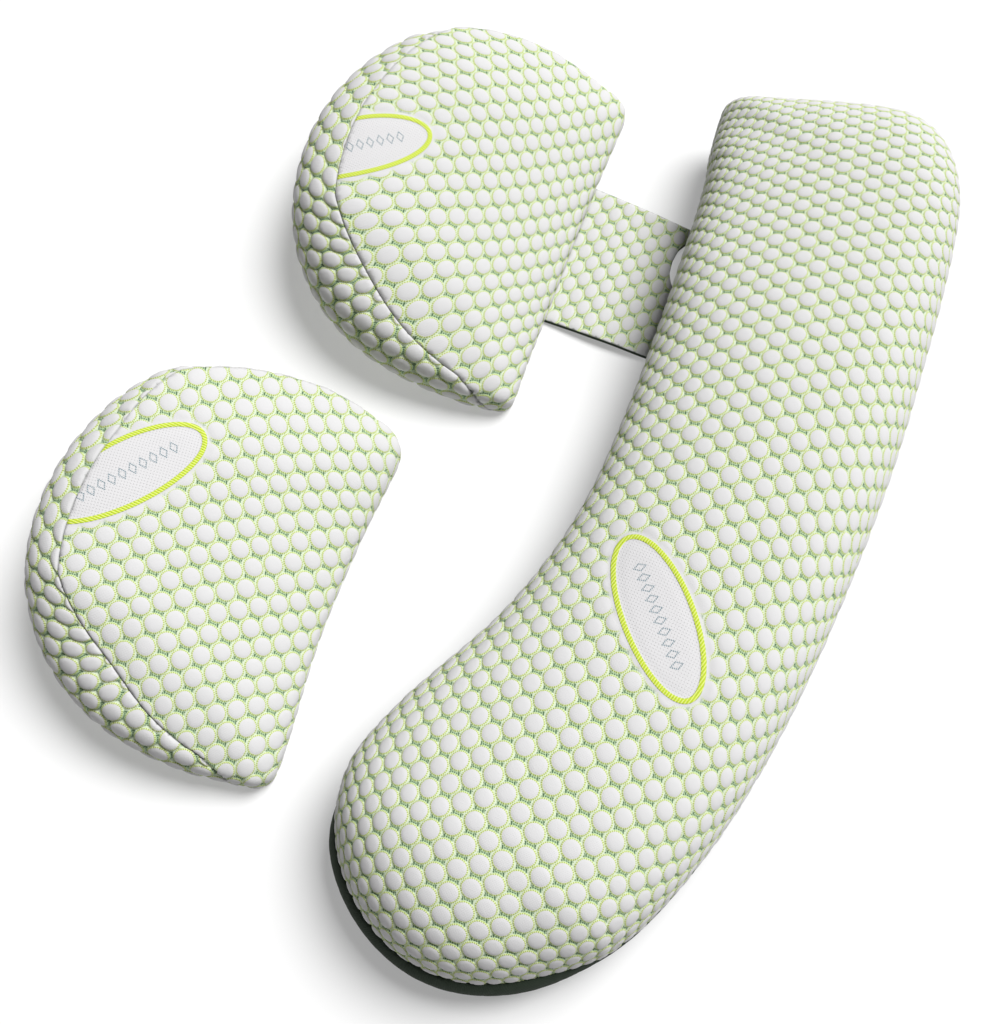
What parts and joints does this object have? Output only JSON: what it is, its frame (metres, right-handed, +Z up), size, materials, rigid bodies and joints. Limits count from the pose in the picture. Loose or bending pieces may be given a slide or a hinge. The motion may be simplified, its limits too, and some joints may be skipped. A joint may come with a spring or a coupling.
{
  "type": "modular body pillow",
  "caption": "Long curved body pillow with a half-round wedge cushion joined by a quilted strap, and a loose wedge of the same shape, lying on their flat undersides.",
  "frame": {"origin": "middle of the set's bounding box, on the surface that it lies on", "axes": "+Z up from the surface; +Y along the straight upper part of the long pillow and along the wedges' straight edges, away from the rounded lower end; +X from the wedges towards the long pillow"},
  "size_m": [0.6436, 0.824, 0.114],
  "materials": {
    "long_pillow_cloth": "off-white quilted knit with lime and dark green stitching between raised hexagonal cells",
    "joined_wedge_cloth": "off-white quilted knit with lime and dark green stitching between raised hexagonal cells",
    "loose_wedge_cloth": "off-white quilted knit with lime and dark green stitching between raised hexagonal cells",
    "strap_cloth": "off-white quilted knit with lime and dark green stitching between raised hexagonal cells"
  },
  "bodies": {
    "root": {"long_pillow": "long_pillow_cloth", "joined_wedge": "joined_wedge_cloth", "loose_wedge": "loose_wedge_cloth", "strap": "strap_cloth"}
  },
  "joints": []
}
